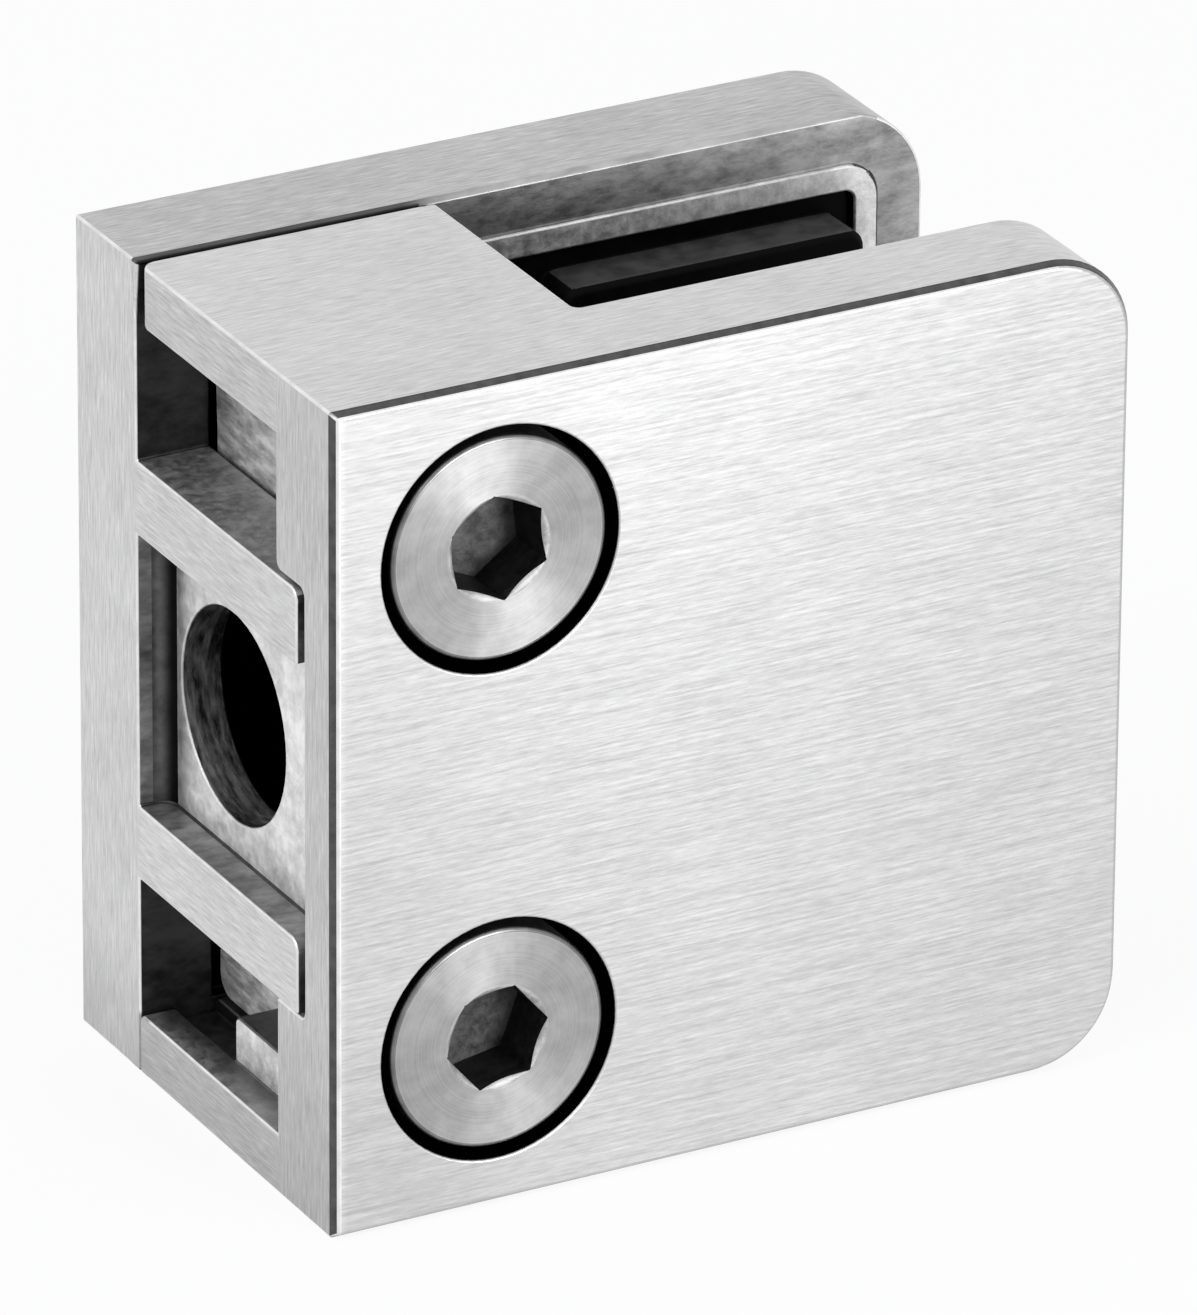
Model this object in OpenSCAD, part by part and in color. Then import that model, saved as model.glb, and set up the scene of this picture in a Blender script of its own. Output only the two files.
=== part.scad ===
// Glass panel clamp: two castings that grip a pane and bolt to a flat post.
// Origin on the post face, on the axis of the fixing hole.
// +X runs from the post to the pane, +Y from the cover to the base, +Z up.

/* [Plates] */
// Width from the post face to the open ends of the plates
plate_w = 45; // [43:0.5:60]
// Height of both plates
plate_h = 45; // [44:0.5:60]
// Depth over both plates
clamp_d = 28; // [27:0.5:34]
// Thickness of the cover's plate
cover_t = 6.1; // [5.8:0.1:7.5]
// Thickness of the base's plate
base_t = 6.6; // [6:0.1:8]
// Radius of the plate corners on the glass side
corner_r = 4.8; // [3:0.1:6]
// Bevel round the cover's outer face, measured on the face
bevel_face = 0.3; // [0.1:0.05:0.6]
// Bevel round the cover's outer face, measured on the edge
bevel_edge = 0.45; // [0.1:0.05:0.8]

/* [Glass slot] */
// Distance from the post face to the slot floor
slot_x = 16.6; // [15.6:0.1:19]
// Thickness of the pane the pads grip
glass_t = 10; // [8:0.5:12]
// Round where the slot floor meets the cover's plate
slot_fillet = 0.5; // [0.2:0.1:0.7]
// Gap from the slot floor to the ring that frames a gasket
ring_from_floor = 0.8; // [0.75:0.05:1.5]
// Margin from the plate's free edges to the ring
ring_margin = 2.7; // [1.5:0.1:4]
// Width of the ring
ring_wall = 1.4; // [1:0.1:1.8]
// Height of the ring above the plate
ring_h = 0.3; // [0.15:0.05:0.6]
// Outer corner radius of the ring
ring_r = 2; // [1.9:0.1:3]

/* [Gaskets] */
// Depth of a gasket's recess below the plate's inner face
recess_d = 1.2; // [1.05:0.05:1.5]
// Thickness of a gasket's backing sheet
sheet_t = 1; // [0.6:0.05:1.05]
// Play round a backing sheet in its recess
sheet_play = 0.1; // [0.05:0.05:0.3]
// Step from a sheet's top and bottom edges to its pad
pad_step = 1.1; // [0.4:0.1:2]
// Step from a sheet's outer edge to its pad
pad_step_outer = 0.5; // [0.4:0.1:2]
// Step from a sheet's inner edge to its pad
pad_step_floor = 4; // [0.4:0.1:6]
// Corner radius of a pad
pad_r = 1; // [0.6:0.1:2]
// Bevel round a pad's gripping face
pad_bevel = 0.3; // [0.1:0.05:0.5]

/* [Post side] */
// Distance from the cover's outer face to the fixing hole's axis
hole_y = 14.4; // [13.6:0.1:15]
// Diameter of the fixing hole
hole_d = 11.4; // [8.5:0.1:12]
// Depth from the post face to the fixing wall
wall_x = 1.83; // [1.2:0.05:2]
// Thickness of the fixing wall
wall_t = 2.32; // [2:0.05:2.6]
// Clear height between the two ribs
rib_gap = 15.1; // [14.5:0.1:16]
// Height of each rib
rib_h = 4.05; // [3.6:0.05:4.4]
// Radius of a rib's upper nose edge
rib_nose_r = 0.8; // [0.3:0.1:1.2]
// Round between the fixing wall and the base's plate
wall_fillet = 1; // [0.5:0.1:1.5]
// Thickness of the cover's top and bottom walls
rim_t = 3.3; // [2.6:0.1:3.8]
// Radius of the top wall's rear corners
rim_r = 0.9; // [0.4:0.1:1.2]
// Gap between the top wall and the base's plate
seam_gap = 0.45; // [0.2:0.05:0.8]
// Bevel on the base's seam edge, measured on its upper face
seam_bevel = 0.35; // [0.1:0.05:0.6]
// Bevel on the base's seam edge, measured on its inner face
seam_bevel_in = 0.17; // [0.1:0.01:0.4]
// Thickness of the cover's edge left in front of the rib noses
strip_t = 3.12; // [2.6:0.02:3.5]
// Depth of the notch for the rib noses
notch_x = 2.3; // [2.1:0.05:2.4]
// Gap between a rib nose and its notch
nose_gap = 0.8; // [0.3:0.05:1.2]
// Gap over the upper rib in the notch
notch_top_gap = 0.35; // [0.2:0.05:0.6]
// Radius of the notch's corners
notch_r = 0.5; // [0.2:0.05:0.7]

/* [Screw blocks] */
// Gap between the fixing wall and the cover's screw blocks
block_gap = 0.15; // [0.1:0.05:0.4]
// Gap between the screw blocks and the base's plate
block_end_gap = 0.5; // [0.4:0.05:2.5]
// Radius of the lower block's rear edge
block_r = 1.2; // [0.5:0.1:2]
// Least wall round a screw's clearance hole
block_wall = 2; // [1.5:0.1:2.4]
// Thickness of the web that joins the blocks at the slot floor
web_t = 2; // [1.5:0.1:2.4]
// Depth of the seats in the base opposite the blocks
seat_d = 0.8; // [0.4:0.1:1]
// Depth of the lip on the bottom wall, from the post face
lip_x = 1.85; // [1.5:0.05:2.2]
// Drop of the bottom wall's floor behind its lip
floor_drop = 0.8; // [0.4:0.1:1.2]
// Reach of the hollow under the lower block, from the lip
hollow_x = 4.2; // [3:0.1:4.6]
// Height of the lower block's underside over the lip
hollow_h = 0.5; // [0.3:0.1:1]
// Length of the lug beside the cover's plate
lug_len = 8.25; // [6:0.05:10]
// Height of the lug over the bottom wall
lug_h = 2.6; // [1.6:0.1:4]
// Radius of the lug's upper edge
lug_r = 0.5; // [0.2:0.1:1]

/* [Screws] */
// Thread diameter
thread_d = 6; // [5:0.5:6]
// Running play of a thread in the base, all round
thread_play = 0.05; // [0.02:0.01:0.1]
// Play of a shank in the cover, all round
shank_play = 0.3; // [0.3:0.05:0.5]
// Distance from the post face to the screws' axes
screw_x = 9.3; // [9.1:0.1:9.7]
// Distance from the plates' top and bottom edges to the screws' axes
screw_inset = 9.1; // [8.5:0.1:9.5]
// Diameter of a screw head
head_d = 12; // [11:0.1:12.4]
// Height of a screw head
head_h = 4.2; // [3.8:0.1:4.6]
// Gap round a screw head in its counterbore
head_gap = 0.6; // [0.3:0.05:0.7]
// Depth of a screw head below the cover's face
head_sink = 0.2; // [0.05:0.05:0.4]
// Bevel on a screw head's edge
head_bevel = 0.25; // [0.1:0.05:0.5]
// Width across the flats of the hexagon socket
socket_af = 5; // [4:0.5:5]
// Depth of the hexagon socket
socket_d = 3.2; // [2.4:0.1:3.4]
// Radius of the conical lead-in at a socket's mouth
lead_in_r = 2.8; // [2.55:0.05:2.85]
// Angle of one socket corner from +X on the upper and the lower screw
socket_turn = [36, 10]; // [0:1:60]
// Wall left in the base behind a threaded hole
blind_wall = 0.8; // [0.6:0.1:1.2]
// Free depth ahead of a screw's point
point_gap = 0.5; // [0.3:0.1:1]
// Bevel on a screw's point
point_bevel = 0.8; // [0.4:0.1:1.2]

/* [Hidden] */
$fn = 96;
// overlap that keeps cuts and joins clean
eps = 0.05;

// levels across the clamp
cover_y = -hole_y;
cover_in = cover_y + cover_t;
base_y = cover_y + clamp_d;
base_in = base_y - base_t;
slot_mid = (cover_in + base_in) / 2;
wall_end = base_in - seam_gap;
block_end = base_in - block_end_gap;
nose_y = cover_y + strip_t + nose_gap;
tongue_y = cover_in + block_gap;
lug_end = cover_in + lug_len;

// levels up the clamp
top_z = plate_h / 2;
rim_in = top_z - rim_t;
rib_in = rib_gap / 2;
rib_out = rib_in + rib_h;
screw_z = top_z - screw_inset;
shank_hole_r = thread_d / 2 + shank_play;
block_in = screw_z - shank_hole_r - block_wall;
hollow_top = -rim_in + hollow_h;

// levels away from the post
tongue_x = wall_x + wall_t;
nose_x = notch_x - block_gap;
block_x = tongue_x + block_gap;

// gasket ring, recess, sheet and pad
ring_near = slot_x + ring_from_floor;
ring_far = plate_w - ring_margin;
ring_z = top_z - ring_margin;
recess_near = ring_near + ring_wall;
recess_far = ring_far - ring_wall;
recess_z = ring_z - ring_wall;
recess_r = ring_r - ring_wall;
sheet_near = recess_near + sheet_play;
sheet_far = recess_far - sheet_play;
sheet_z = recess_z - sheet_play;
sheet_r = recess_r - sheet_play;
pad_near = sheet_near + pad_step_floor;
pad_far = sheet_far - pad_step_outer;
pad_z = sheet_z - pad_step;
// a gasket's levels are measured from its plate's inner face, positive into the plate
sheet_face = recess_d - sheet_t;
pad_face = (glass_t - (base_in - cover_in)) / 2;

// screws
head_top = cover_y + head_sink;
head_seat = head_top + head_h;
hole_end = base_y - blind_wall;
screw_end = hole_end - point_gap;

// extrudes an outline drawn in X and Z from y0 to y1
module across(y0, y1) {
    translate([0, y1, 0]) rotate([90, 0, 0]) linear_extrude(y1 - y0) children();
}

// extrudes an outline drawn in Y and Z from x0 to x1
module along(x0, x1) {
    translate([x0, 0, 0]) rotate([90, 0, 90]) linear_extrude(x1 - x0) children();
}

// extrudes an outline drawn in X and Y from z0 to z1
module upright(z0, z1) {
    translate([0, 0, z0]) linear_extrude(z1 - z0) children();
}

// rectangle between two opposite corners
module rect(low, high) {
    translate(low) square(high - low);
}

// piece between a square corner and the arc that rounds it; inward points to the arc's centre
module corner_piece(corner, inward, r) {
    difference() {
        translate([corner.x - (inward.x > 0 ? eps : r), corner.y - (inward.y > 0 ? eps : r)])
            square(r + eps);
        translate(corner + r * inward) circle(r);
    }
}

// outline from x0 to x1 and z high each way, with its corners rounded
module soft_outline(x0, x1, z, r) {
    rect([x0 + r, -z], [x1 - r, z]);
    rect([x0, -z + r], [x1, z - r]);
    for (x = [x0 + r, x1 - r], side = [-1, 1]) translate([x, side * (z - r)]) circle(r);
}

// outline of a plate: square at the post, round on the glass side
module plate_outline() {
    difference() {
        rect([0, -top_z], [plate_w, top_z]);
        for (side = [-1, 1]) corner_piece([plate_w, side * top_z], [-1, -side], corner_r);
    }
}

// block with round ends on its far side and a bevel round its face at y = 0
module bevelled_block(x0, x1, z, t, r, face, edge, near_round) {
    near_r = near_round ? r : 0;
    post = [[0, 0], [r - face, 0], [r, edge], [r, t], [0, t]];
    middle = [[0, -z + face], [edge, -z], [t, -z], [t, z], [edge, z], [0, z - face]];
    bar = [[x0 + face, 0], [x1 - face, 0], [x1, edge], [x1, t], [x0, t], [x0, edge]];
    intersection() {
        union() {
            along(x0 + near_r, x1 - r) polygon(middle);
            upright(-z + r, z - r) polygon(bar);
            for (x = near_round ? [x0 + r, x1 - r] : [x1 - r], side = [-1, 1])
                translate([x, 0, side * (z - r)]) rotate([-90, 0, 0]) rotate_extrude() polygon(post);
        }
        upright(-z, z) polygon(bar);
    }
}

// both shells: the raised ring round a gasket, drawn on a plate face at y = 0
module gasket_ring() {
    across(-ring_h, eps) soft_outline(ring_near, ring_far, ring_z, ring_r);
}

// both shells: the recess a gasket lies in
module gasket_recess() {
    across(-ring_h - eps, recess_d) soft_outline(recess_near, recess_far, recess_z, recess_r);
}

// both gaskets: a backing sheet with the pad that meets the glass
module gasket() {
    union() {
        across(sheet_face, recess_d) soft_outline(sheet_near, sheet_far, sheet_z, sheet_r);
        translate([0, pad_face, 0])
            bevelled_block(pad_near, pad_far, pad_z, sheet_face - pad_face + eps, pad_r, pad_bevel,
                pad_bevel, true);
    }
}

// cover: wall along the top edge, rounded where it ends at the base
module top_wall() {
    intersection() {
        upright(rim_in, top_z) difference() {
            rect([0, cover_in - eps], [slot_x, wall_end]);
            for (x = [0, slot_x])
                corner_piece([x, wall_end], [x > 0 ? -1 : 1, -1], rim_r);
        }
        along(0, slot_x) difference() {
            rect([cover_in - eps, rim_in], [wall_end, top_z]);
            corner_piece([wall_end, rim_in], [-1, 1], rim_r);
        }
    }
}

// cover: wall along the bottom edge, closed against the base, with a lip at the post face
module bottom_wall() {
    difference() {
        along(0, slot_x) difference() {
            rect([cover_in - eps, -top_z], [base_in, -rim_in]);
            corner_piece([base_in, -rim_in], [-1, -1], lug_r);
        }
        upright(-rim_in - floor_drop, -rim_in + eps) rect([lip_x, lug_end], [block_x, base_in + eps]);
    }
}

// cover: the two blocks the screws pass through, joined by a web at the slot floor
module screw_blocks() {
    along(block_x, slot_x) rect([cover_in - eps, block_in], [block_end, top_z]);
    difference() {
        along(block_x, slot_x) rect([cover_in - eps, -top_z], [block_end, -block_in]);
        // hollow under the lower block
        along(block_x - eps, lip_x + hollow_x)
            rect([lug_end, -rim_in - floor_drop], [block_end + eps, hollow_top]);
        along(block_x - eps, lip_x + hollow_x)
            corner_piece([block_end, hollow_top], [-1, 1], block_r);
    }
    along(slot_x - web_t, slot_x) rect([cover_in - eps, -block_in - eps], [block_end, block_in + eps]);
}

// cover: lug in the lower pocket, between the lip and the block
module lug() {
    along(lip_x, block_x + eps) difference() {
        rect([cover_in - eps, -rim_in - eps], [lug_end, -rim_in + lug_h]);
        corner_piece([lug_end, -rim_in + lug_h], [-1, -1], lug_r);
    }
}

// cover: notch in the plate's post edge for the rib noses
module nose_notch() {
    top = rib_out + notch_top_gap;
    low = -rib_out;
    edge = cover_y + strip_t;
    along(-eps, notch_x) {
        difference() {
            rect([edge, low], [cover_in + eps, top]);
            for (z = [low, top]) corner_piece([edge, z], [1, z > 0 ? -1 : 1], notch_r);
        }
        corner_piece([cover_in, top], [-1, 1], notch_r);
    }
}

// cover: counterbore and clearance hole of one screw
module screw_passage() {
    across(cover_y - eps, head_seat) circle(head_d / 2 + head_gap);
    across(cover_y, block_end + eps) circle(shank_hole_r);
}

// front casting: plate, walls, screw blocks and lug in one piece
module front_shell() {
    color("Gainsboro") difference() {
        union() {
            translate([0, cover_y, 0])
                bevelled_block(0, plate_w, top_z, cover_t, corner_r, bevel_face, bevel_edge, false);
            top_wall();
            bottom_wall();
            screw_blocks();
            lug();
            upright(-top_z, top_z) corner_piece([slot_x, cover_in], [1, 1], slot_fillet);
            translate([0, cover_in, 0]) mirror([0, 1, 0]) gasket_ring();
        }
        translate([0, cover_in, 0]) mirror([0, 1, 0]) gasket_recess();
        nose_notch();
        for (side = [-1, 1]) translate([screw_x, 0, side * screw_z]) screw_passage();
    }
}

// base: fixing wall and the two ribs that stand at the post face
module tongue() {
    along(wall_x, tongue_x) rect([tongue_y, -rib_in - eps], [base_in + eps, rib_in + eps]);
    for (low = [-rib_out, rib_in]) {
        along(0, tongue_x) rect([tongue_y, low], [base_in + eps, low + rib_h]);
        along(0, nose_x) difference() {
            rect([nose_y, low], [tongue_y + eps, low + rib_h]);
            corner_piece([nose_y, low + rib_h], [1, -1], rib_nose_r);
        }
    }
    upright(-rib_in, rib_in) corner_piece([wall_x, base_in], [-1, -1], wall_fillet);
}

// base: bevel along the seam with the cover's top wall
module seam_bevels() {
    along(-eps, plate_w + eps)
        polygon([[base_in - eps, top_z - seam_bevel_in], [base_in, top_z - seam_bevel_in],
            [base_in + seam_bevel, top_z], [base_in + seam_bevel, top_z + eps],
            [base_in - eps, top_z + eps]]);
    upright(rim_in, top_z + eps)
        polygon([[seam_bevel_in, base_in - eps], [seam_bevel_in, base_in],
            [0, base_in + seam_bevel], [-eps, base_in + seam_bevel], [-eps, base_in - eps]]);
}

// rear casting: plate, fixing wall and ribs in one piece
module rear_shell() {
    color("Silver") difference() {
        union() {
            across(base_in, base_y) plate_outline();
            tongue();
            translate([0, base_in, 0]) gasket_ring();
        }
        translate([0, base_in, 0]) gasket_recess();
        along(wall_x - eps, tongue_x + eps) circle(hole_d / 2);
        seam_bevels();
        for (side = [-1, 1]) {
            mid = side * (block_in + rim_in) / 2;
            across(base_in - eps, base_in + seat_d) translate([0, mid])
                rect([tongue_x, (block_in - rim_in) / 2], [slot_x - web_t / 2, (rim_in - block_in) / 2]);
            translate([screw_x, 0, side * screw_z])
                across(base_in, hole_end) circle(thread_d / 2 + thread_play);
        }
    }
}

// clamping screw with a flat head, a hexagon socket and its thread's outer size
module screw(side, turn) {
    head_r = head_d / 2;
    shank_r = thread_d / 2;
    profile = [[0, head_top], [head_r - head_bevel, head_top], [head_r, head_top + head_bevel],
        [head_r, head_seat], [shank_r, head_seat], [shank_r, screw_end - point_bevel],
        [shank_r - point_bevel, screw_end], [0, screw_end]];
    socket_r = socket_af / 2 / cos(30);
    translate([screw_x, 0, side * screw_z]) difference() {
        rotate([-90, 0, 0]) rotate_extrude() polygon(profile);
        across(head_top - eps, head_top + socket_d) rotate(turn) circle(socket_r, $fn = 6);
        rotate([-90, 0, 0]) rotate_extrude()
            polygon([[0, head_top - eps], [lead_in_r + eps, head_top - eps],
                [0, head_top + lead_in_r]]);
    }
}

module screw_upper() {
    color("LightGray") screw(1, socket_turn[0]);
}

module screw_lower() {
    color("LightGray") screw(-1, socket_turn[1]);
}

// rubber gasket in the base
module rear_gasket() {
    color("DimGray") translate([0, base_in, 0]) gasket();
}

// rubber gasket in the cover
module front_gasket() {
    color("DimGray") translate([0, cover_in, 0]) mirror([0, 1, 0]) gasket();
}

rear_shell();
front_shell();
screw_upper();
screw_lower();
rear_gasket();
front_gasket();
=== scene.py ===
from math import cos, pi, radians, sin

import bpy
from mathutils import Matrix, Vector


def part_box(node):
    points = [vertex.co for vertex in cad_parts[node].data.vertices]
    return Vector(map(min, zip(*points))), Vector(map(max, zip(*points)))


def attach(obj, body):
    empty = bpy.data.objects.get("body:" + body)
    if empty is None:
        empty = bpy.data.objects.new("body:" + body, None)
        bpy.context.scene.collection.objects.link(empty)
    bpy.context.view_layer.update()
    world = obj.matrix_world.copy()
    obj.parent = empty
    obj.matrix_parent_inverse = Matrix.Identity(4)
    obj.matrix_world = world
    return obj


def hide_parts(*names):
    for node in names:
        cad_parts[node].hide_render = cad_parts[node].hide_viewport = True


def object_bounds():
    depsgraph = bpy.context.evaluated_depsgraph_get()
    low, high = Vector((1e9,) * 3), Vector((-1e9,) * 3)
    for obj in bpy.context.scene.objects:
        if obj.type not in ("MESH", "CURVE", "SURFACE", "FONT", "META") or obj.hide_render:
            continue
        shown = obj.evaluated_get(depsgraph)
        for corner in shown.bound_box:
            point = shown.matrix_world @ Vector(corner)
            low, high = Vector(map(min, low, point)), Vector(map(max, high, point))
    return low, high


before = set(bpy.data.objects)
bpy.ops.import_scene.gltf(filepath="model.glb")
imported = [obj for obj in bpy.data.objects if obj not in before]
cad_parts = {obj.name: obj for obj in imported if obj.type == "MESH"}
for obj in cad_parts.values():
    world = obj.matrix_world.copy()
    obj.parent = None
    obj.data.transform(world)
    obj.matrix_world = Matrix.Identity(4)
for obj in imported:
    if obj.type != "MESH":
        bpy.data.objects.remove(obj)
cad_low, cad_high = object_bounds()
bpy.ops.object.select_all(action="DESELECT")

# ---- Camera ----
# A long lens some three quarters of a metre off, on the post side of the clamp and above it,
# so that the post face, the top edges and the cover's outer face all show.
MM = 0.001
scene = bpy.context.scene
middle = (cad_low + cad_high) / 2
azimuth, elevation, roll = radians(-28.509), radians(24.948), radians(0.408)
distance = 736.38
away = Vector((sin(azimuth) * cos(elevation), -cos(azimuth) * cos(elevation), sin(elevation)))
aim = middle + Vector((-0.284, -0.295, -0.849)) * MM
side = Vector((cos(azimuth), sin(azimuth), 0))
rise = away.cross(side)
side, rise = side * cos(roll) + rise * sin(roll), rise * cos(roll) - side * sin(roll)
bpy.ops.object.camera_add(location=aim + away * distance * MM)
camera = bpy.context.active_object
camera.name = "studio_camera"
camera.rotation_euler = Matrix((side, rise, away)).transposed().to_euler()
camera.data.lens = 398.6
camera.data.sensor_width = 36
camera.data.clip_start, camera.data.clip_end = 0.05, 20
scene.camera = camera
scene.view_settings.view_transform = "Standard"


# ---- Floor, surroundings and lamps ----
# The clamp stands on its lower edge on a plain pale table, in a white room. A small lamp stands
# close in front of the cover, a wide one hangs over the post side, and the room fills the rest.
def link(tree, source, target):
    tree.links.new(source, target)


def whiter(tree, strength):
    """Says 1 where a ray comes from the camera, a gloss or glass, which then see plain white."""
    path = tree.nodes.new("ShaderNodeLightPath")
    seen = tree.nodes.new("ShaderNodeMath")
    seen.operation = "MAXIMUM"
    link(tree, path.outputs["Is Camera Ray"], seen.inputs[0])
    link(tree, path.outputs["Is Glossy Ray"], seen.inputs[1])
    both = tree.nodes.new("ShaderNodeMath")
    both.operation = "MAXIMUM"
    link(tree, seen.outputs[0], both.inputs[0])
    link(tree, path.outputs["Is Transmission Ray"], both.inputs[1])
    share = tree.nodes.new("ShaderNodeMath")
    share.operation = "MULTIPLY"
    share.inputs[1].default_value = strength
    link(tree, both.outputs[0], share.inputs[0])
    return share.outputs[0]


room = bpy.data.worlds.new("white_room")
room.use_nodes = True
scene.world = room
tree = room.node_tree
fill = tree.nodes["Background"]
fill.inputs["Color"].default_value = (0.95, 0.97, 1, 1)
fill.inputs["Strength"].default_value = 0.7
white = tree.nodes.new("ShaderNodeBackground")
white.inputs["Color"].default_value = (1, 1, 1, 1)
white.inputs["Strength"].default_value = 1
mix = tree.nodes.new("ShaderNodeMixShader")
link(tree, whiter(tree, 1), mix.inputs[0])
link(tree, fill.outputs[0], mix.inputs[1])
link(tree, white.outputs[0], mix.inputs[2])
link(tree, mix.outputs[0], tree.nodes["World Output"].inputs["Surface"])

hair = 0.02 * MM
bpy.ops.mesh.primitive_plane_add(size=8, location=(middle.x, middle.y, cad_low.z - hair))
floor = bpy.context.active_object
floor.name = "studio_floor"
table = bpy.data.materials.new("pale_table")
table.use_nodes = True
tree = table.node_tree
paper = tree.nodes["Principled BSDF"]
paper.inputs["Base Color"].default_value = (0.9, 0.9, 0.9, 1)
paper.inputs["Roughness"].default_value = 0.9
paper.inputs["Specular IOR Level"].default_value = 0
glow = tree.nodes.new("ShaderNodeEmission")
glow.inputs["Color"].default_value = (1, 1, 1, 1)
glow.inputs["Strength"].default_value = 1
mix = tree.nodes.new("ShaderNodeMixShader")
link(tree, whiter(tree, 0.9), mix.inputs[0])
link(tree, paper.outputs[0], mix.inputs[1])
link(tree, glow.outputs[0], mix.inputs[2])
link(tree, mix.outputs[0], tree.nodes["Material Output"].inputs["Surface"])
floor.data.materials.append(table)


def lamp(name, place, size, power):
    """A square soft lamp that faces the middle of the clamp."""
    bpy.ops.object.light_add(type="AREA", location=place)
    made = bpy.context.active_object
    made.name = name
    made.rotation_euler = (Vector(place) - middle).to_track_quat("Z", "Y").to_euler()
    made.data.shape = "SQUARE"
    made.data.size = size
    made.data.energy = power


lamp("front_lamp", place=(0.095, -0.31, 0.03), size=0.09, power=0.64)
lamp("post_side_lamp", place=(-0.34, -0.15, 0.44), size=0.3, power=0.72)


# ---- Cover casting ----
# The front half of the clamp is one casting in stainless steel: plate, top and bottom walls
# and the two screw blocks. Its outside is ground with a belt, its inside is left as cast.
# places on the casting, in millimetres, by which its faces are told apart
cover_low, cover_high = (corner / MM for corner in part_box("front_shell"))
cover_inner = -8.3
slot_floor = 16.6
corner_radius = 4.8
screw_x, screw_up = 9.3, 13.4
# how far edges are rounded, and how close two corners are the same one
softened = 0.12 * MM
same_point = 0.0005 * MM


def merged_copy(node, name):
    """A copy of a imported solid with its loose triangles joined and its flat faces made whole."""
    piece = bpy.data.objects.new(name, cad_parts[node].data.copy())
    scene.collection.objects.link(piece)
    piece.data.name = name
    piece.data.materials.clear()
    bpy.context.view_layer.objects.active = piece
    piece.select_set(True)
    bpy.ops.object.mode_set(mode="EDIT")
    bpy.ops.mesh.select_all(action="SELECT")
    bpy.ops.mesh.remove_doubles(threshold=same_point)
    bpy.ops.mesh.customdata_custom_splitnormals_clear()
    bpy.ops.mesh.dissolve_limited(angle_limit=radians(0.4), use_dissolve_boundaries=False)
    bpy.ops.object.mode_set(mode="OBJECT")
    piece.select_set(False)
    return piece


def smooth(piece):
    """Smooth shading over the rounds, with every flat face left flat."""
    bpy.context.view_layer.objects.active = piece
    piece.select_set(True)
    bpy.ops.object.shade_smooth_by_angle(angle=radians(50))
    even = piece.modifiers.new("flat_faces", "WEIGHTED_NORMAL")
    even.weight = 100  # the large faces alone set the normals
    even.keep_sharp = True
    bpy.ops.object.modifier_apply(modifier=even.name)
    piece.select_set(False)


def soften(piece, segments, choose):
    """Rounds every sharp edge a little, as grinding and handling do; choose gives the finish of
    each small face of a round from its place and outward direction."""
    last = len(piece.data.materials)
    piece.data.materials.append(None)
    bevel = piece.modifiers.new("softened_edges", "BEVEL")
    bevel.width = softened
    bevel.segments = segments
    bevel.limit_method = "ANGLE"
    bevel.angle_limit = radians(35)
    bevel.use_clamp_overlap = False
    bevel.material = last
    bpy.context.view_layer.objects.active = piece
    piece.select_set(True)
    bpy.ops.object.modifier_apply(modifier=bevel.name)
    for face in piece.data.polygons:
        if face.material_index == last:
            face.material_index = choose(face.center / MM, face.normal)
    piece.data.materials.pop(index=last)
    smooth(piece)


def finish_faces(piece, finishes, choose):
    """Gives each face the finish that choose picks by the face's place and outward direction."""
    for finish in finishes:
        piece.data.materials.append(finish)
    for face in piece.data.polygons:
        face.material_index = choose(face.center / MM, face.normal)


def metal(name, roughness):
    """Bare metal of an even roughness, with its node tree and its shader to build on."""
    made = bpy.data.materials.new(name)
    made.use_nodes = True
    shader = made.node_tree.nodes["Principled BSDF"]
    shader.inputs["Metallic"].default_value = 1
    shader.inputs["Roughness"].default_value = roughness
    return made, made.node_tree, shader


def grain(tree, stretch, scale, detail, roughness=0.55, place=(0, 0, 0), waver=0.0):
    """Noise on the piece's own coordinates, drawn out by stretch, with features of 1 / scale
    metres."""
    where = tree.nodes.new("ShaderNodeTexCoord")
    drawn = tree.nodes.new("ShaderNodeMapping")
    drawn.inputs["Location"].default_value = place
    drawn.inputs["Scale"].default_value = stretch
    link(tree, where.outputs["Object"], drawn.inputs["Vector"])
    noise = tree.nodes.new("ShaderNodeTexNoise")
    noise.inputs["Scale"].default_value = scale
    noise.inputs["Detail"].default_value = detail
    noise.inputs["Roughness"].default_value = roughness
    noise.inputs["Distortion"].default_value = waver
    link(tree, drawn.outputs[0], noise.inputs["Vector"])
    return noise.outputs["Fac"]


def blend_of(tree, first, second, share):
    """share of second and the rest of first; share is a number or an output."""
    mixed = tree.nodes.new("ShaderNodeMix")
    if isinstance(share, float):
        mixed.inputs["Factor"].default_value = share
    else:
        link(tree, share, mixed.inputs["Factor"])
    link(tree, first, mixed.inputs["A"])
    link(tree, second, mixed.inputs["B"])
    return mixed.outputs["Result"]


def reach(tree, value, from_low, from_high, low, high, soft=False):
    """value from from_low to from_high laid over low to high, and kept inside them."""
    ranged = tree.nodes.new("ShaderNodeMapRange")
    if soft:
        ranged.interpolation_type = "SMOOTHSTEP"
    ranged.inputs["From Min"].default_value = from_low
    ranged.inputs["From Max"].default_value = from_high
    ranged.inputs["To Min"].default_value = low
    ranged.inputs["To Max"].default_value = high
    link(tree, value, ranged.inputs["Value"])
    return ranged.outputs["Result"]


def worked(tree, kind, first, second=None):
    """A sum, product or other two-sided result; second is a number or an output."""
    result = tree.nodes.new("ShaderNodeMath")
    result.operation = kind
    link(tree, first, result.inputs[0])
    if isinstance(second, float):
        result.inputs[1].default_value = second
    elif second is not None:
        link(tree, second, result.inputs[1])
    return result.outputs[0]


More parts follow.
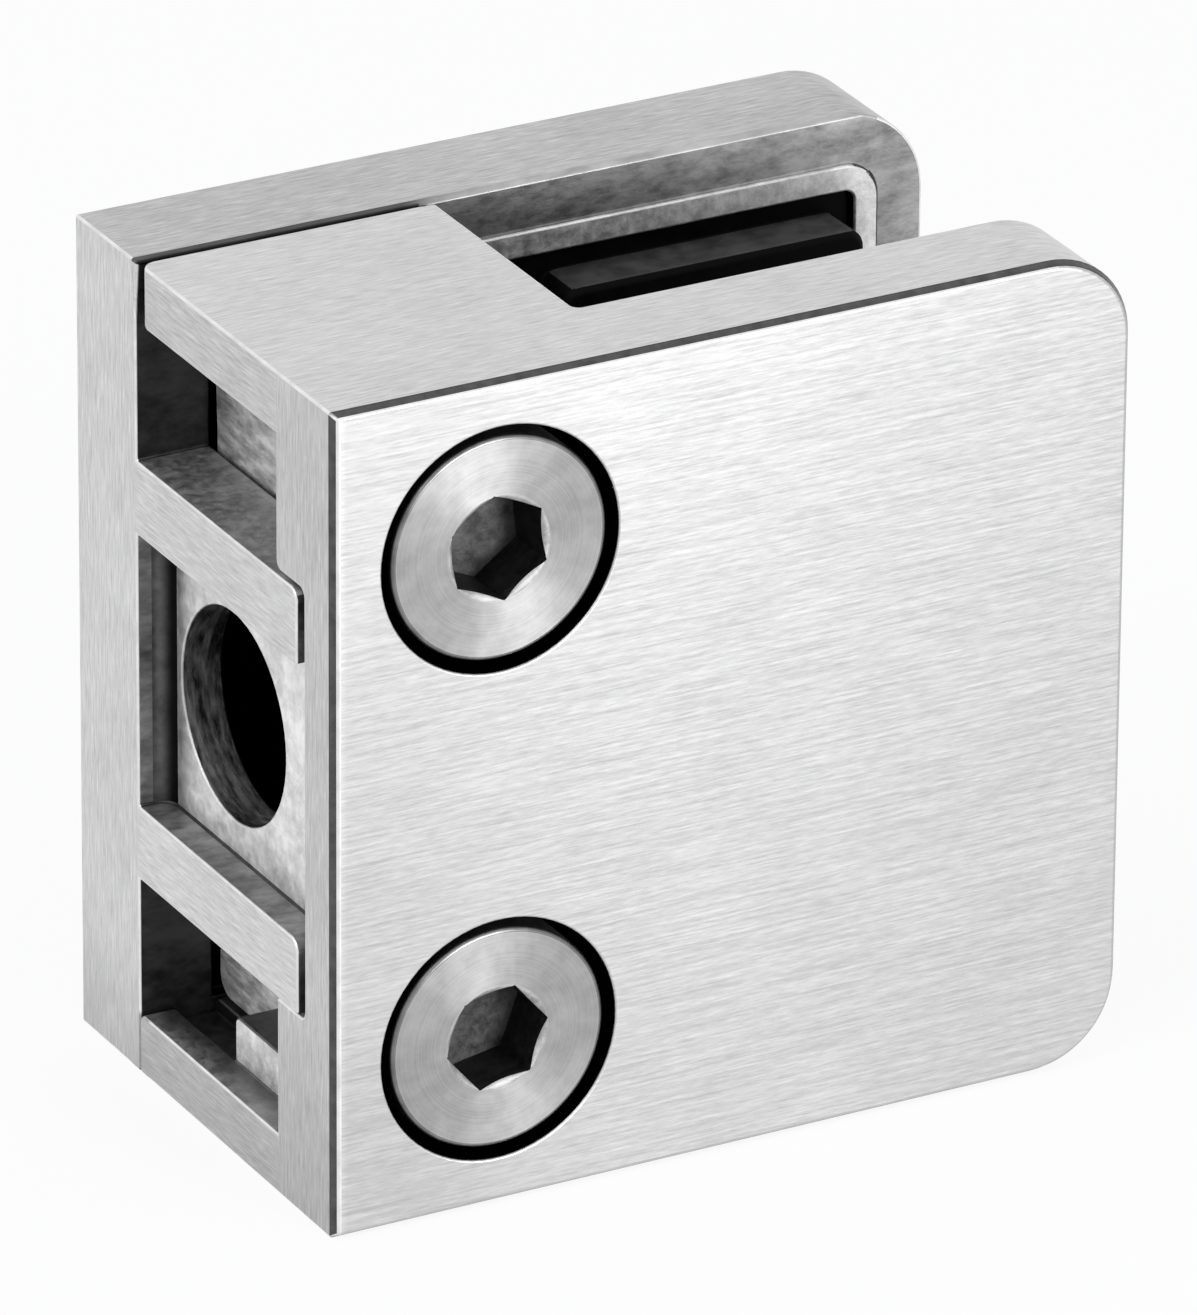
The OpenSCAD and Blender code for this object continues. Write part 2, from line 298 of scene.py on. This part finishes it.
def zone(tree, soft=0.1, **sides):
    """1 inside the limits in millimetres given for x, y, z or off, and 0 outside; off is z
    without its sign."""
    where = tree.nodes.new("ShaderNodeTexCoord")
    parts = tree.nodes.new("ShaderNodeSeparateXYZ")
    link(tree, where.outputs["Object"], parts.inputs[0])
    share = None
    for axis, limits in sides.items():
        value = parts.outputs["Z" if axis == "off" else axis.upper()]
        if axis == "off":
            value = worked(tree, "ABSOLUTE", value)
        for limit, (before, after) in zip(limits, ((0, 1), (1, 0))):
            if limit is not None:
                edge = reach(tree, value, (limit - soft) * MM, (limit + soft) * MM,
                             before, after, soft=True)
                share = edge if share is None else worked(tree, "MULTIPLY", share, edge)
    return share


def part_of(factor, soft, **sides):
    """A part of a finish that is darker or lighter: its factor, how softly it ends, its limits."""
    return factor, soft, sides


def zoned(tree, value, parts):
    """value times the factor of each part, inside that part."""
    for factor, soft, sides in parts:
        inside = zone(tree, soft, **sides)
        value = blend_of(tree, value, worked(tree, "MULTIPLY", value, factor), inside)
    return value


def bumps(tree, shader, height, depth, strength):
    bump = tree.nodes.new("ShaderNodeBump")
    bump.inputs["Distance"].default_value = depth
    bump.inputs["Strength"].default_value = strength
    link(tree, height, bump.inputs["Height"])
    link(tree, bump.outputs["Normal"], shader.inputs["Normal"])


def belt_ground(name, lays, dark, light, parts=(), along=0.6, share=0.35):
    """Steel ground with a belt: long fine scratches and wider faint streaks over slow clouds.
    lays are one stretch, or two and the zone where the second one holds. The smaller along is,
    the longer the streaks run, and share is how much they count."""
    made, tree, shader = metal(name, 0.4)
    across = 0.6
    waver = 0.03

    def laid(stretch):
        fine = grain(tree, stretch, 1, 5, 0.7, waver=waver)
        drawn = tuple(s * (along if s == min(stretch) else across) for s in stretch)
        streaks = grain(tree, drawn, 1, 3, 0.6, (3, 1, 7), waver)
        return blend_of(tree, fine, streaks, share)

    scratches = laid(lays[0])
    if len(lays) > 1:
        scratches = blend_of(tree, scratches, laid(lays[1]), zone(tree, **lays[2]))
    clouds = grain(tree, (1, 1, 1), 150, 3, 0.55)
    tone = blend_of(tree, scratches, clouds, 0.11)
    tone = reach(tree, tone, 0.36, 0.64, dark, light)
    link(tree, zoned(tree, tone, parts), shader.inputs["Base Color"])
    link(tree, reach(tree, scratches, 0.35, 0.65, 0.34, 0.46), shader.inputs["Roughness"])
    bumps(tree, shader, scratches, 0.005 * MM, 0.5)
    return made


def as_cast(name, dark, light, parts=(), size=1100.0, drawn=(1, 1, 1)):
    """Steel as it leaves the mould: dull, mottled, with small pits and a skin of darker scale."""
    made, tree, shader = metal(name, 0.55)
    mottle = grain(tree, drawn, size, 8, 0.7)
    patches = grain(tree, drawn, size * 0.35, 3, 0.55)
    tone = reach(tree, blend_of(tree, mottle, patches, 0.4), 0.4, 0.6, dark, light)
    link(tree, zoned(tree, tone, parts), shader.inputs["Base Color"])
    link(tree, reach(tree, mottle, 0.35, 0.65, 0.45, 0.62), shader.inputs["Roughness"])
    bumps(tree, shader, mottle, 0.06 * MM, 0.6)
    return made


def from_outline(place):
    """How far inside the plates' outline a place lies, in millimetres, round corners counted."""
    over = place.x - (cover_high.x - corner_radius)
    up = abs(place.z) - (cover_high.z - corner_radius)
    if over > 0 and up > 0:
        return corner_radius - (over ** 2 + up ** 2) ** 0.5
    return min(place.x, cover_high.x - place.x, cover_high.z - abs(place.z))


# scratches about a millimetre long and a tenth as wide, for each way that the belt ran
ALONG_X, ALONG_Y, ALONG_Z = (1000, 9500, 9500), (9500, 650, 9500), (9500, 9500, 650)
ROUND_THE_EDGE = (750, 9500, 750)
# the front face carries a painted highlight beside the post edge, and painted shade towards its
# right and left sides where less light falls
outer_ground = belt_ground(
    "ground_face", [ALONG_X], 0.482, 0.638, along=0.165, share=0.5,
    parts=[part_of(1.15, 0.25, x=(-1, 0.6), y=(-15, -14)),  # a painted highlight on the face beside the post edge
           part_of(0.94, 12, x=(32, None)),
           part_of(0.92, 8, x=(None, 9))])
edge_ground = belt_ground("ground_edge", [ROUND_THE_EDGE], 0.46, 0.76)
# the post face is painted darker towards the bottom, as painted shade
post_ground = belt_ground(
    "ground_post_face", [ALONG_Z, ALONG_Y, {"y": (cover_inner, None), "soft": 0.6}], 0.39, 0.75,
    parts=[part_of(0.74, 8, z=(None, -18))])
# a lighter copy of the cast steel: painted light on the inside faces that are turned to the light
cast_painted_light = as_cast("as_cast_painted_light", 0.62, 0.95)
# the blocks' ends face the light and are painted lighter than the plain cast steel
cast_block = as_cast("as_cast_block_painted_light", 0.5, 1.0, size=1900.0, drawn=(1, 0.3, 1),
                     parts=[part_of(0.05, 0.2, z=(None, -19.2))])  # painted shade at the joint under the block
cast_plain = as_cast("as_cast", 0.34, 0.56, size=1800.0,
                     parts=[part_of(0.33, 0.8, x=(0.8, 17), z=(None, -15)),  # painted shade in the lower pocket
                            part_of(1.4, 0.5, x=(17, None), y=(6, None))])  # a painted highlight on the ring's top
# dark and near black copies of the cast steel: painted shade for the hollows and the faces turned
# from the light
cast_painted_shade = as_cast("as_cast_painted_shade", 0.05, 0.10)
cast_painted_deep_shade = as_cast("as_cast_painted_deep_shade", 0.0005, 0.002)
# the rounded edges are painted bright as a highlight, with painted shade where they run into the
# joint at the bottom
painted_highlight, tree, shader = metal("painted_highlight_edge", 0.36)
link(tree, zoned(tree, reach(tree, grain(tree, (1, 1, 1), 900, 3), 0.35, 0.65, 0.72, 0.86),
                 [part_of(0.4, 0.2, y=(6, 8), z=(None, -19.2))]), shader.inputs["Base Color"])
# the chamfer round the front face is painted dark, a painted reflection of the dark surroundings
chamfer_shade_finish, tree, shader = metal("chamfer_painted_shade", 0.3)
link(tree, reach(tree, grain(tree, (1, 1, 1), 1200, 4), 0.35, 0.65, 0.07, 0.11),
     shader.inputs["Base Color"])

cover_finishes = [outer_ground, edge_ground, post_ground, cast_painted_light, cast_plain, cast_painted_shade,
                  cast_painted_deep_shade, painted_highlight, chamfer_shade_finish, cast_block]
OUTER, EDGE, POST, LIGHT, PLAIN, DARK, BLACK, PAINTED_EDGE_HIGHLIGHT, CHAMFER, BLOCK = range(10)


def cover_finish(place, out):
    """The front face, the chamfer round it, the post face, the counterbores, the ground edge, and
    then the cast inside: the blocks' ends in painted light, the floors, and hollows in painted
    shade."""
    if place.y < cover_low.y + 0.01:
        return OUTER
    if place.y < cover_low.y + 0.46 and abs(out.y) < 0.95 and from_outline(place) < 0.3:
        return CHAMFER
    if place.x < 0.01:
        return POST
    # the counterbores are painted black as shade
    if place.y < cover_inner and (place.x - screw_x) ** 2 + (abs(place.z) - screw_up) ** 2 < 50:
        return BLACK
    if from_outline(place) < 0.05:
        return EDGE
    if place.x < slot_floor - 0.1 and place.y > cover_inner - 0.1:
        # the hollows between the blocks are painted black as shade
        if abs(place.z) < 7 or abs(place.z) < 12 and abs(out.z) > 0.9 and place.x > 4:
            return BLACK
        # faces turned to the light are painted lighter
        if out.x < -0.9:
            return BLOCK if place.x > 3 else LIGHT
        if out.z > 0.5 and -19.3 < place.z < 0:
            return PLAIN
        # the rest inside is painted dark or black as shade
        return DARK if place.y < 6.5 else BLACK
    return PLAIN


def cover_edge(place, out):
    """The outer rounds get a painted highlight; inside they stay dull or take the painted shade
    beside them.
    """
    inset = from_outline(place)
    on_front = place.y < cover_low.y + 0.2
    at_the_joint = place.y > 6.2 and place.x < slot_floor - 0.1
    if place.x < 0.2 and place.y > 6.7 and place.z < -19:
        return PLAIN
    if on_front and inset > 2:
        return OUTER
    if on_front and (out.x > 0.1 or out.z < -0.1) and place.x > 0.5:
        return OUTER if inset > 0.25 else PLAIN
    if on_front and inset > 0.25 or place.x < 0.2 or \
            (inset < 0.2 and place.y > -13.8 and not at_the_joint):
        return PAINTED_EDGE_HIGHLIGHT
    if place.x < 2.2 or place.x > slot_floor - 0.2:
        return PLAIN
    return cover_finish(place, out)


cover = merged_copy("front_shell", "cover_casting")
finish_faces(cover, cover_finishes, cover_finish)
soften(cover, 2, cover_edge)
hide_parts("front_shell")
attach(cover, "cover")


# ---- Base casting ----
# The rear half: a plate with the fixing wall and its two ribs, bolted to the post. It is the
# same steel as the cover, ground outside and on the edges of the ribs, and cast inside.
# places on the casting, in millimetres
base_plate = 7.0
wall_front, wall_back = 1.83, 4.15
bore_radius = 5.7
rim_inside = 19.2
base_top = belt_ground("ground_base_edge", [ROUND_THE_EDGE], 0.32, 0.65)
# the base's post face is painted darker towards the bottom, as painted shade
base_post = belt_ground(
    "ground_base_post_face", [ALONG_Z, ALONG_Y, {"y": (None, base_plate), "soft": 0.6}], 0.46, 0.84,
    parts=[part_of(0.72, 6, z=(None, -19))])
# the base plate's inside is painted darker than the cast steel as shade, with painted light near
# the post and right of the slot where more light reaches, and a little darker beyond x 42.6
base_inner = as_cast(
    "as_cast_base_plate_painted_shade_and_light", 0.16, 0.35, drawn=(0.5, 1, 1), size=1500.0,
    parts=[part_of(0.24, 2.2, x=(None, 8.5), off=(9, None)),  # painted shade at the back of the two pockets
           part_of(1.3, 0.1, x=(-1, 4.1), z=(None, 11)),
           part_of(0.62, 3, x=(12, 21)),  # the shade at the slot floor
           part_of(1.3, 2.5, x=(32, 41.5)),
           part_of(0.87, 0.8, x=(42.6, None)),
           part_of(0.004, 1.1, x=(3, 12.5), off=(None, 11.5))])  # painted shade, near black, behind the fixing wall
# the fixing wall faces the light and is painted light, with painted shade along its margin by the
# crease
fixing_wall = as_cast("as_cast_fixing_wall_painted_light_and_shade", 0.62, 0.95,
                      parts=[part_of(0.6, 0.8, x=(None, 9), y=(5.2, 9)),
                             part_of(0.06, 0.2, x=(None, 9), y=(6.3, 9))])
# the crease at the wall's foot is painted dark, darkest near the wall, as painted shade
crease = as_cast("as_cast_crease_painted_shade", 0.1, 0.2, parts=[part_of(0.05, 0.35, x=(1.4, 3))])
# the bore's wall runs dark, as painted shade inside the bore
bore_wall = as_cast("as_cast_bore_painted_shade", 0.05, 0.42, size=1300.0, drawn=(2.4, 0.5, 0.5))
# the seam's chamfer is painted dark as shade in the narrow joint, lighter beside the slot, and near
# black in the gap
seam, tree, shader = metal("seam_chamfer_painted_shade_and_light", 0.4)
link(tree, zoned(tree, reach(tree, grain(tree, (420, 1000, 1000), 1, 3), 0.35, 0.65, 0.08, 0.12),
                 [part_of(4.5, 1.6, x=(slot_floor, 60)),  # open to the light beside the slot
                  part_of(0.15, 0.08, x=(None, 16), y=(6, 7.12))]),
     shader.inputs["Base Color"])
base_finishes = [outer_ground, base_top, base_post, fixing_wall, cast_plain, cast_painted_shade,
                 cast_painted_deep_shade, painted_highlight, chamfer_shade_finish, cast_block, base_inner, bore_wall, seam, crease]
INNER, BORE, SEAM, CREASE = range(10, 14)


def base_finish(place, out):
    """The outer face, the post face, the seam's chamfers and the ground edge, and then the cast
    parts: the bore and the fixing wall, the ribs, the ring and its recess, and the plate."""
    from_axis = (place.y ** 2 + place.z ** 2) ** 0.5
    if place.y > cad_high.y / MM - 0.01:
        return OUTER
    if place.x < 0.01:
        return POST
    if place.y > base_plate - 0.01 and 0.1 < abs(out.y) < 0.99 and \
            (abs(place.z) > 22.2 or place.x < 0.3):
        return SEAM if abs(place.z) > 22.2 else POST
    if place.y > base_plate + 0.01 and from_outline(place) < 0.05:
        return EDGE
    if wall_front < place.x < wall_back and abs(from_axis - bore_radius) < 0.1:
        return BORE
    # the fixing wall's front face, turned to the light, gets the painted light
    if abs(place.x - wall_front) < 0.01:
        return LIGHT
    if place.x < wall_back + 0.15 and place.y < base_plate:
        # inside the wall, faces turned from the light are painted black as shade, and the crease
        # dark
        if out.x > 0.5 or out.z < -0.5:
            return BLACK
        if abs(out.z) < 0.1 and out.x < -0.01 and place.y > 5.9:
            return CREASE
        return PLAIN if out.z > 0.5 and place.z > 0 else INNER
    if place.y < base_plate - 0.01 and place.x > slot_floor:
        # in the slot, the ring's side turned from the light is painted dark as shade, its top a
        # painted highlight
        if out.x > 0.5 and out.y > -0.5:
            return DARK
        return LIGHT if out.z > 0.3 else PLAIN
    # the recess behind the plate's face is painted black as shade
    if place.y > base_plate + 0.01:
        return BLACK
    return INNER


def base_edge(place, out):
    """The rounds along the seam, the outer ones with a painted highlight, the ring's and the rest.
    """
    from_axis = (place.y ** 2 + place.z ** 2) ** 0.5
    inset = from_outline(place)
    if 6.8 < place.y < 7.6 and inset < 0.4 and abs(place.z) > 22:
        return SEAM
    # the lower rounds at the post take the crease's painted shade
    if place.x < 0.4 and 6.6 < place.y < 7.6 and abs(place.z) > rim_inside:
        return POST if place.z > 0 else CREASE
    # the outer rounds get the painted highlight, those at the bore the painted light
    if place.x < 0.2 or inset < 0.2 or place.y > 13.4 or (place.x < 2 and from_axis < 6):
        return LIGHT if from_axis < 6 else PAINTED_EDGE_HIGHLIGHT
    # in the slot, rounds turned from the light are painted dark as shade, those facing up a painted
    # highlight
    if place.x > slot_floor and place.y < base_plate - 0.005:
        return DARK if out.x > 0.3 else LIGHT if out.z > 0.3 and place.y < 6.9 else INNER
    # the other rounds inside are painted dark as shade
    return INNER if place.x > slot_floor else DARK


def edit(piece):
    """Opens a piece alone in edit mode, with nothing selected."""
    bpy.ops.object.select_all(action="DESELECT")
    bpy.context.view_layer.objects.active = piece
    piece.select_set(True)
    bpy.ops.object.mode_set(mode="EDIT")
    bpy.ops.mesh.select_all(action="DESELECT")


def leave():
    bpy.ops.object.mode_set(mode="OBJECT")
    bpy.ops.object.select_all(action="DESELECT")


base = merged_copy("rear_shell", "base_casting")
# the seam's chamfer on the post edge runs out to nothing at its lower end
run_out = Vector((0, base_plate, rim_inside))
for corner in base.data.vertices:
    if (corner.co / MM - run_out).length < 0.4:
        corner.co = run_out * MM
edit(base)
bpy.ops.mesh.select_all(action="SELECT")
bpy.ops.mesh.remove_doubles(threshold=same_point)
leave()
finish_faces(base, base_finishes, base_finish)
soften(base, 2, base_edge)
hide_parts("rear_shell")
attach(base, "base")


# ---- Clamping screws ----
# Two steel socket screws with flat heads pull the cover to the base. The heads are faced on a
# lathe, which leaves fine rings, the hexagon is broached, and the thread is rolled.
screw_low, screw_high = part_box("screw_upper")
screw_axis = (screw_low + screw_high) / 2
head_radius = (screw_high.x - screw_low.x) / 2
head_front = screw_low.y
shank_end = screw_high.y
head_height = 4.2 * MM
thread_radius, thread_root, pitch = 3 * MM, 2.42 * MM, 1 * MM
socket_flats, socket_depth = 5 * MM, 3.2 * MM
lead_in, lead_depth = 2.83 * MM, 2.14 * MM
rim_bevel = 0.25 * MM
socket_turns = {"upper": radians(36), "lower": radians(10)}
FORWARD = (radians(90), 0, 0)


def turned(name, centre_z, dark=0.33, light=0.46):
    """A lathe-turned face: fine rings about the screw's axis, at centre_z, that draw the gloss
    out across them."""
    made, tree, shader = metal(name, 0.34)
    where = tree.nodes.new("ShaderNodeTexCoord")
    centred = tree.nodes.new("ShaderNodeMapping")
    centred.inputs["Location"].default_value = (-screw_axis.x, 0, -centre_z)
    centred.inputs["Scale"].default_value = (1, 0, 1)
    link(tree, where.outputs["Object"], centred.inputs["Vector"])
    length = tree.nodes.new("ShaderNodeVectorMath")
    length.operation = "LENGTH"
    link(tree, centred.outputs[0], length.inputs[0])
    rings = tree.nodes.new("ShaderNodeTexNoise")
    rings.noise_dimensions = "1D"
    rings.inputs["Scale"].default_value = 12000
    rings.inputs["Detail"].default_value = 4
    rings.inputs["Roughness"].default_value = 0.6
    link(tree, length.outputs["Value"], rings.inputs["W"])
    clouds = grain(tree, (1, 1, 1), 900, 5)
    tone = blend_of(tree, rings.outputs["Fac"], clouds, 0.55)
    link(tree, reach(tree, tone, 0.36, 0.64, dark, light), shader.inputs["Base Color"])
    around = tree.nodes.new("ShaderNodeVectorMath")
    around.operation = "CROSS_PRODUCT"
    around.inputs[1].default_value = (0, 1, 0)
    link(tree, centred.outputs[0], around.inputs[0])
    link(tree, around.outputs[0], shader.inputs["Tangent"])
    shader.inputs["Anisotropic"].default_value = 0.55
    shader.inputs["Anisotropic Rotation"].default_value = 0.25
    bumps(tree, shader, rings.outputs["Fac"], 0.004 * MM, 0.6)
    return made


def pick(piece, test):
    """Selects, in edit mode, the faces whose place and direction pass the test."""
    bpy.ops.object.mode_set(mode="OBJECT")
    for face in piece.data.polygons:
        face.select = test(face.center, face.normal)
    bpy.ops.object.mode_set(mode="EDIT")
    bpy.ops.mesh.select_mode(type="FACE")


def settle(piece):
    """Puts a piece's place into its mesh and leaves its object at the origin."""
    bpy.ops.object.select_all(action="DESELECT")
    bpy.context.view_layer.objects.active = piece
    piece.select_set(True)
    bpy.ops.object.transform_apply(location=True, rotation=True, scale=True)
    piece.select_set(False)


def cut(piece, tool):
    """Takes the tool's shape out of the piece, and the tool away."""
    bpy.context.view_layer.objects.active = piece
    boolean = piece.modifiers.new("cut", "BOOLEAN")
    boolean.object = tool
    boolean.operation = "DIFFERENCE"
    boolean.solver = "EXACT"
    bpy.ops.object.modifier_apply(modifier="cut")
    bpy.data.objects.remove(tool)


def screw_head(name, centre_z, turn):
    """The head alone: a turned disc with a bevelled rim and a hexagon with its lead-in."""
    bpy.ops.mesh.primitive_cylinder_add(
        vertices=128, radius=head_radius, depth=head_height, rotation=FORWARD,
        location=(screw_axis.x, head_front + head_height / 2, centre_z))
    head = bpy.context.active_object
    head.name = head.data.name = name
    settle(head)
    edit(head)
    pick(head, lambda place, out: out.y < -0.9)
    bpy.ops.mesh.bevel(offset=rim_bevel, segments=3, affect="EDGES")
    leave()
    bpy.ops.mesh.primitive_cylinder_add(
        vertices=6, radius=socket_flats / 2 / cos(pi / 6), depth=socket_depth * 2,
        location=(screw_axis.x, head_front, centre_z),
        rotation=(radians(90), pi / 6 - turn, 0))
    hexagon = bpy.context.active_object
    settle(hexagon)
    stands_out, wider = 1 * MM, 1.32 * MM
    bpy.ops.mesh.primitive_cone_add(
        vertices=96, radius1=lead_in + wider, radius2=0, depth=lead_depth + stands_out,
        location=(screw_axis.x, head_front + (lead_depth - stands_out) / 2, centre_z),
        rotation=(radians(-90), 0, 0))
    drill = bpy.context.active_object
    settle(drill)
    cut(head, hexagon)
    cut(head, drill)
    return head


def screw_thread(name, centre_z):
    """A rolled thread from inside the head to the point: one tooth's profile, wound up and then
    trimmed at both ends."""
    under_head = head_front + head_height
    profile = [(thread_root, 0), (thread_root, 0.25), (thread_radius, 0.6),
               (thread_radius, 0.72), (thread_root, 1)]
    mesh = bpy.data.meshes.new(name)
    mesh.from_pydata([(r, y * pitch, 0) for r, y in profile], [(n, n + 1) for n in range(4)], [])
    thread = bpy.data.objects.new(name, mesh)
    scene.collection.objects.link(thread)
    bpy.context.view_layer.objects.active = thread
    wind = thread.modifiers.new("wind", "SCREW")
    wind.axis = "Y"
    wind.screw_offset = pitch
    wind.steps = wind.render_steps = 48
    wind.iterations = 26
    wind.use_merge_vertices = True
    wind.merge_threshold = 0.002 * MM
    bpy.ops.object.modifier_apply(modifier="wind")
    thread.location = (screw_axis.x, under_head - 1.6 * MM, centre_z)
    settle(thread)
    edit(thread)
    for end, is_start in ((under_head - 0.2 * MM, True), (shank_end, False)):
        bpy.ops.mesh.select_all(action="SELECT")
        bpy.ops.mesh.bisect(plane_co=(0, end, 0), plane_no=(0, 1, 0), use_fill=True,
                            clear_inner=is_start, clear_outer=not is_start)
    bpy.ops.mesh.select_all(action="SELECT")
    bpy.ops.mesh.normals_make_consistent(inside=False)
    leave()
    return thread


# the socket's walls and floor are painted near black and dark, painted shade deep in the hexagon
socket_wall = as_cast("broached_wall_painted_shade", 0.02, 0.06, size=1500.0)
socket_floor = as_cast("drilled_floor_painted_shade", 0.06, 0.15, size=1600.0)
socket_mouth = as_cast("drilled_mouth", 0.25, 0.5, size=1100.0)
FACE, WALL, DRILLED, MOUTH, RIM = range(5)
for level, centre_z in (("upper", screw_axis.z), ("lower", -screw_axis.z)):
    head = screw_head(level + "_screw_head", centre_z, socket_turns[level])
    above_seat = (head_front + head_height) / MM - 0.1

    def head_finish(place, out):
        off = Vector((place.x - screw_axis.x / MM, 0, place.z - centre_z / MM)).length
        if off < 2.9 and abs(out.y) < 0.4 and place.y < above_seat:
            return WALL
        if off < 2.4 and place.y < above_seat:
            return DRILLED
        if off < 2.9 and out.y > -0.98 and place.y < above_seat:
            return MOUTH
        return RIM if off > 5.7 else FACE

    # the bevelled rim is painted darker than the face, a painted reflection of the dark counterbore
    # round it
    finish_faces(head, [turned("turned_" + level, centre_z), socket_wall, socket_floor,
                        socket_mouth, turned("turned_rim_painted_reflection_" + level, centre_z, 0.12, 0.25)],
                 head_finish)
    smooth(head)
    thread = screw_thread(level + "_screw_thread", centre_z)
    thread.data.materials.append(head.data.materials[0])
    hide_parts("screw_" + level)
    for part in (head, thread):
        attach(part, level + "_screw")


# ---- Gaskets ----
# A moulded rubber gasket lies in the recess of each plate: a thin backing sheet with a thick pad
# that grips the glass. The rubber is black and dull; the pad's faces that look up carry a painted
# highlight of the light from above, and the rest are near black, darker than the rubber itself, as
# painted shade.
def rubber(name, dark, light, specular):
    """Black rubber with a fine mottle, which specular makes duller or more shiny."""
    made = bpy.data.materials.new(name)
    made.use_nodes = True
    tree, shader = made.node_tree, made.node_tree.nodes["Principled BSDF"]
    mottle = grain(tree, (1, 1, 1), 700, 5, 0.6)
    link(tree, reach(tree, mottle, 0.38, 0.62, dark, light), shader.inputs["Base Color"])
    link(tree, reach(tree, mottle, 0.35, 0.65, 0.5, 0.7), shader.inputs["Roughness"])
    shader.inputs["Specular IOR Level"].default_value = specular
    bumps(tree, shader, mottle, 0.03 * MM, 0.5)
    return made


moulded = rubber("black_rubber", 0.001, 0.003, specular=0.06)
painted_top_light = rubber("painted_top_light_rubber", 0.032, 0.062, specular=0.3)
MOULDED, PAINTED_TOP_LIGHT = range(2)
for node, body in (("rear_gasket", "base"), ("front_gasket", "cover")):
    gasket = merged_copy(node, node + "_rubber")
    gasket_low, gasket_high = (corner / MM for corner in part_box(node))

    def rubber_finish(place, out):
        on_pad = min(place.x - gasket_low.x, gasket_high.z - place.z) > 0.5
        # faces that look up on the pad get the painted highlight
        return PAINTED_TOP_LIGHT if out.z > 0.9 and on_pad else MOULDED

    finish_faces(gasket, [moulded, painted_top_light], rubber_finish)
    soften(gasket, 3, rubber_finish)
    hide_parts(node)
    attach(gasket, body)
